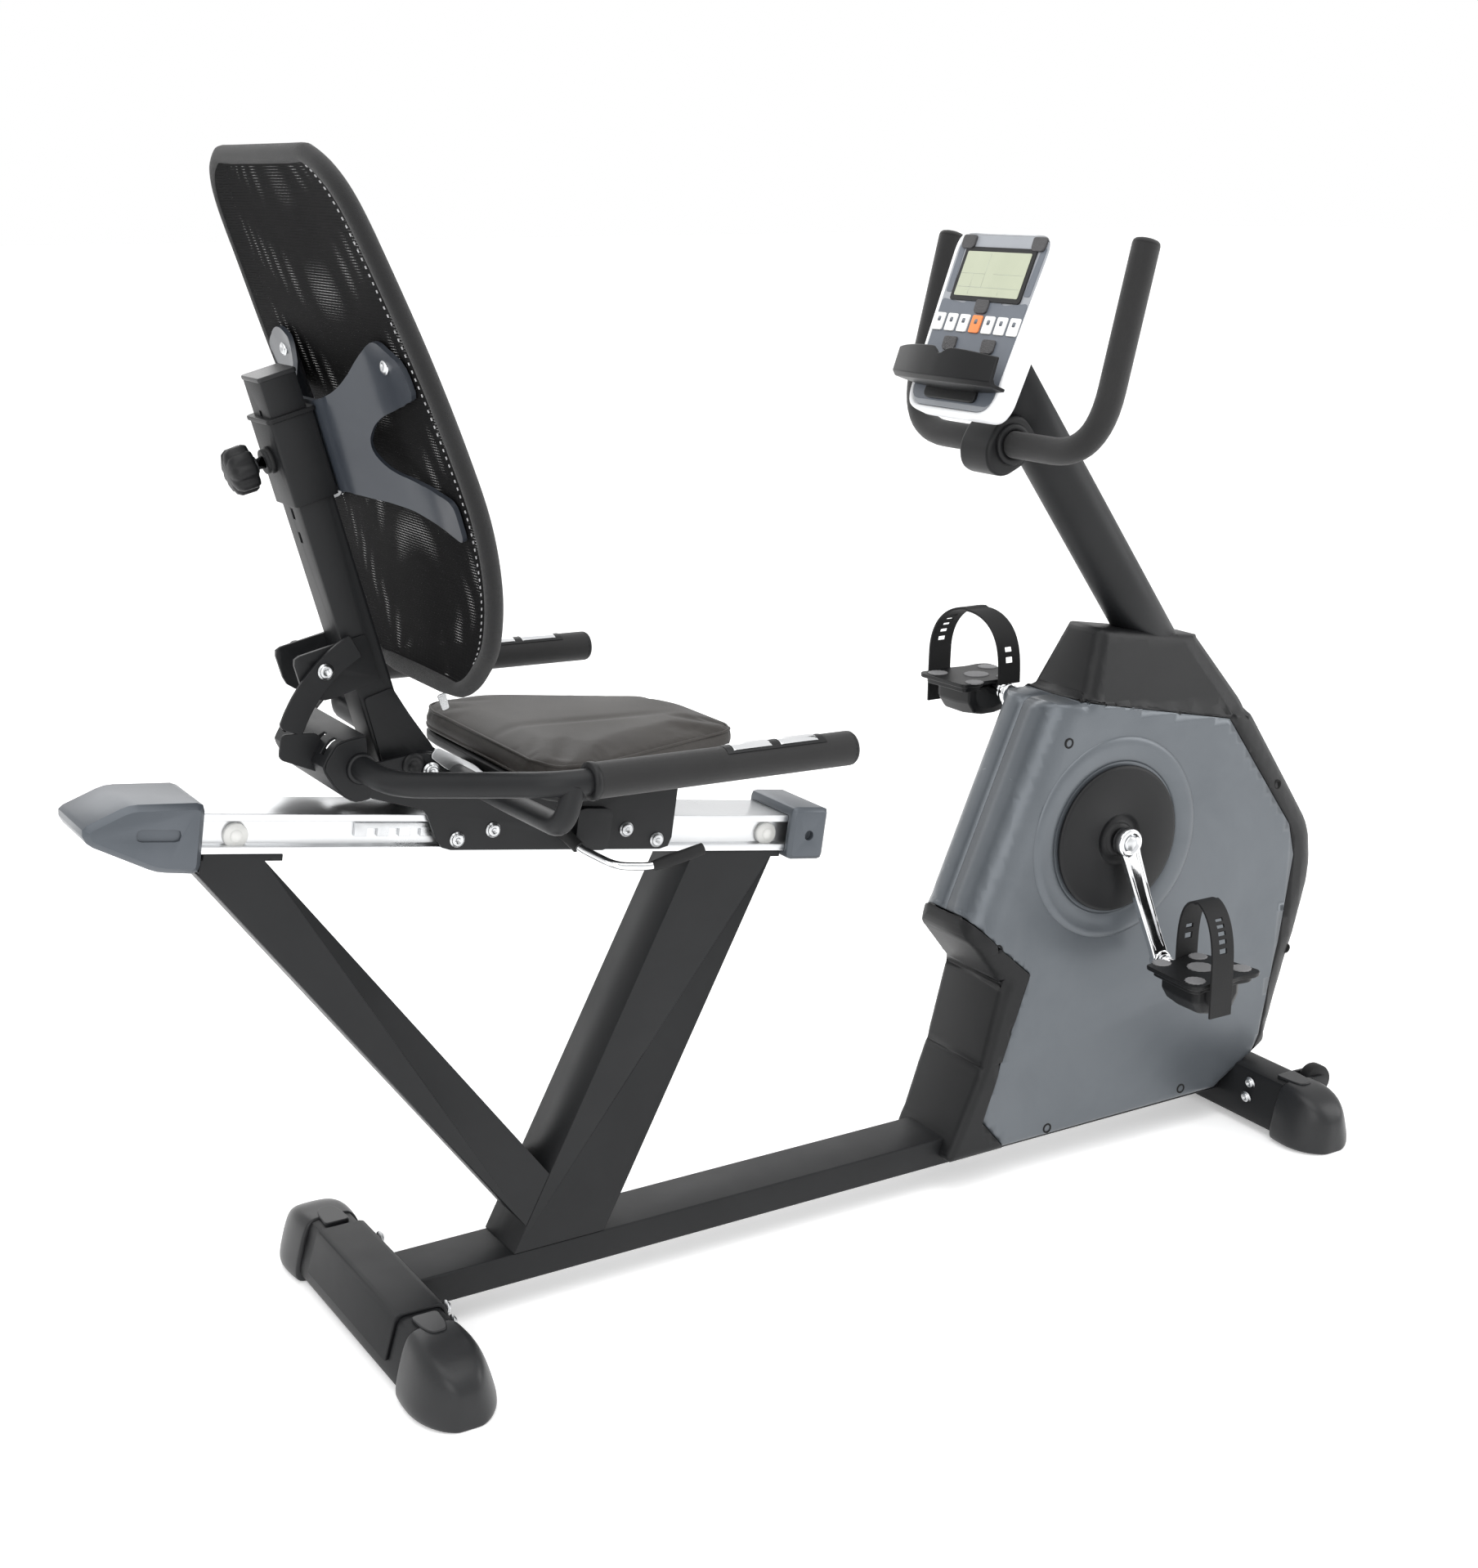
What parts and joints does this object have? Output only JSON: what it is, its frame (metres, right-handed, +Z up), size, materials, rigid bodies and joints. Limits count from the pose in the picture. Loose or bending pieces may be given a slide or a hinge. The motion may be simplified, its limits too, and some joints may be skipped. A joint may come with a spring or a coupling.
{
  "type": "recumbent exercise bike",
  "caption": "Recumbent exercise bike with a sliding seat on a tilted rail, a reclining mesh back, side grips, pedals with foot straps, a drive housing, a mast, an upright bar and a console.",
  "frame": {"origin": "middle of the bike's box in plan, on the floor", "axes": "+X from the seat to the console, +Y to the rider's left, +Z up"},
  "size_m": [1.7006, 0.6416, 1.3112],
  "materials": {
    "frame_paint": "satin powder coat, black",
    "trim_plastic": "moulded black plastic, fine texture",
    "foot_plastic": "moulded dark grey plastic",
    "foot_rubber": "hard black rubber tread",
    "rail_aluminium": "anodised silver extrusion",
    "plated_steel": "zinc-plated steel",
    "chrome": "bright chrome plate",
    "blue_grey_plastic": "satin blue-grey plastic",
    "blue_grey_paint": "satin blue-grey paint",
    "housing_grey": "metallic dark grey moulded plastic",
    "white_plastic": "white moulded plastic",
    "panel_grey": "silver-grey faceplate",
    "lcd": "green-grey display window",
    "key_white": "white membrane keys",
    "cushion_vinyl": "brown-black upholstery vinyl",
    "mesh_fabric": "black open mesh",
    "grip_foam": "black foam sleeve"
  },
  "bodies": {
    "frame": {"rear_foot": "frame_paint", "front_foot": "frame_paint", "rear_saddle": "frame_paint", "base_tube": "frame_paint", "front_strut": "frame_paint", "rear_strut": "frame_paint", "mast": "frame_paint", "inner_frame": "frame_paint", "rear_foot_cap_right": "foot_plastic", "rear_foot_cap_left": "foot_plastic", "front_foot_cap_right": "foot_plastic", "front_foot_cap_left": "foot_plastic", "seat_rail": "rail_aluminium", "latch_rack": "plated_steel", "rail_rear_cap": "blue_grey_plastic", "rail_front_cap": "blue_grey_plastic", "shroud_right": "housing_grey", "shroud_left": "housing_grey", "shroud_front": "trim_plastic", "shroud_rear": "trim_plastic", "handlebar_clamp": "trim_plastic", "console_tray": "trim_plastic", "drive_belt": "trim_plastic", "console_housing": "white_plastic", "console_face": "panel_grey", "console_display": "lcd", "key_strip": "key_white", "handlebar": "grip_foam"},
    "carriage": {"carriage": "frame_paint", "seat_pan": "trim_plastic", "seat_cushion": "cushion_vinyl", "arm_frame": "frame_paint", "grip_right": "grip_foam", "grip_left": "grip_foam"},
    "seat_lever": {"seat_lever": "chrome"},
    "back_post": {"back_post": "frame_paint"},
    "recline_knob": {"recline_knob": "trim_plastic"},
    "backrest": {"back_sleeve": "frame_paint", "back_bracket": "blue_grey_paint", "backrest_hoop": "frame_paint", "backrest_mesh": "mesh_fabric"},
    "height_knob": {"height_knob": "trim_plastic"},
    "crank": {"crank_spindle": "plated_steel", "crank_disc_right": "trim_plastic", "crank_disc_left": "trim_plastic", "crank_arm_right": "chrome", "crank_arm_left": "chrome"},
    "pedal_right": {"pedal_right": "trim_plastic", "pedal_strap_right": "trim_plastic"},
    "pedal_left": {"pedal_left": "trim_plastic", "pedal_strap_left": "trim_plastic"},
    "flywheel": {"flywheel": "plated_steel"},
    "brake_magnet": {"brake_magnet": "plated_steel"},
    "transport_wheel_right": {"transport_wheel_right": "foot_rubber"},
    "transport_wheel_left": {"transport_wheel_left": "foot_rubber"},
    "button_upper_right": {"button_upper_right": "trim_plastic"},
    "button_upper_left": {"button_upper_left": "trim_plastic"},
    "button_enter": {"button_enter": "trim_plastic"},
    "button_lower_right": {"button_lower_right": "trim_plastic"},
    "button_lower_left": {"button_lower_left": "trim_plastic"}
  },
  "joints": [
    {"name": "seat_slide", "type": "slide", "parent": "frame", "child": "carriage", "axis": [0.9882, 0, -0.153], "range_m": [-0.085, 0.13]},
    {"name": "seat_latch", "type": "hinge", "parent": "carriage", "child": "seat_lever", "pos_m": [-0.33087, -0.06, 0.57969], "axis": [0, 1, 0], "range_deg": [-10, 0], "stiffness_Nm_per_rad": 1.5, "springref_deg": 2.86},
    {"name": "recline", "type": "hinge", "parent": "carriage", "child": "back_post", "pos_m": [-0.47986, 0, 0.6682], "axis": [0, 1, 0], "range_deg": [-10, 8]},
    {"name": "recline_pull", "type": "slide", "parent": "back_post", "child": "recline_knob", "axis": [0, 1, 0], "range_m": [0, 0.012], "stiffness_N_per_m": 600, "springref_m": -0.003},
    {"name": "back_height", "type": "slide", "parent": "back_post", "child": "backrest", "axis": [-0.2588, 0, 0.9659], "range_m": [-0.052, 0.026]},
    {"name": "height_pull", "type": "slide", "parent": "backrest", "child": "height_knob", "axis": [-0.9659, 0, -0.2588], "range_m": [0, 0.008], "stiffness_N_per_m": 600, "springref_m": -0.003},
    {"name": "crank_spin", "type": "hinge", "parent": "frame", "child": "crank", "pos_m": [0.46944, 0, 0.448], "axis": [0, 1, 0], "continuous": true},
    {"name": "pedal_right_spin", "type": "hinge", "parent": "crank", "child": "pedal_right", "pos_m": [0.5163, -0.19, 0.28459], "axis": [0, 1, 0], "continuous": true},
    {"name": "pedal_left_spin", "type": "hinge", "parent": "crank", "child": "pedal_left", "pos_m": [0.42258, 0.19, 0.61141], "axis": [0, 1, 0], "continuous": true},
    {"name": "flywheel_spin", "type": "hinge", "parent": "frame", "child": "flywheel", "pos_m": [0.60344, 0, 0.23], "axis": [0, 1, 0], "continuous": true},
    {"name": "brake_swing", "type": "hinge", "parent": "frame", "child": "brake_magnet", "pos_m": [0.63944, 0, 0.366], "axis": [0, -1, 0], "range_deg": [0, 10]},
    {"name": "transport_wheel_right_spin", "type": "hinge", "parent": "frame", "child": "transport_wheel_right", "pos_m": [0.79744, -0.13, 0.06], "axis": [0, 1, 0], "continuous": true},
    {"name": "transport_wheel_left_spin", "type": "hinge", "parent": "frame", "child": "transport_wheel_left", "pos_m": [0.79744, 0.13, 0.06], "axis": [0, 1, 0], "continuous": true},
    {"name": "button_upper_right_press", "type": "slide", "parent": "frame", "child": "button_upper_right", "axis": [0.9245, 0, -0.3811], "range_m": [0, 0.001], "stiffness_N_per_m": 1500},
    {"name": "button_upper_left_press", "type": "slide", "parent": "frame", "child": "button_upper_left", "axis": [0.9245, 0, -0.3811], "range_m": [0, 0.001], "stiffness_N_per_m": 1500},
    {"name": "button_enter_press", "type": "slide", "parent": "frame", "child": "button_enter", "axis": [0.9245, 0, -0.3811], "range_m": [0, 0.001], "stiffness_N_per_m": 1500},
    {"name": "button_lower_right_press", "type": "slide", "parent": "frame", "child": "button_lower_right", "axis": [0.9245, 0, -0.3811], "range_m": [0, 0.001], "stiffness_N_per_m": 1500},
    {"name": "button_lower_left_press", "type": "slide", "parent": "frame", "child": "button_lower_left", "axis": [0.9245, 0, -0.3811], "range_m": [0, 0.001], "stiffness_N_per_m": 1500}
  ],
  "couplings": [
    {"joint": "flywheel_spin", "follows": "crank_spin", "ratio": 5.5}
  ]
}
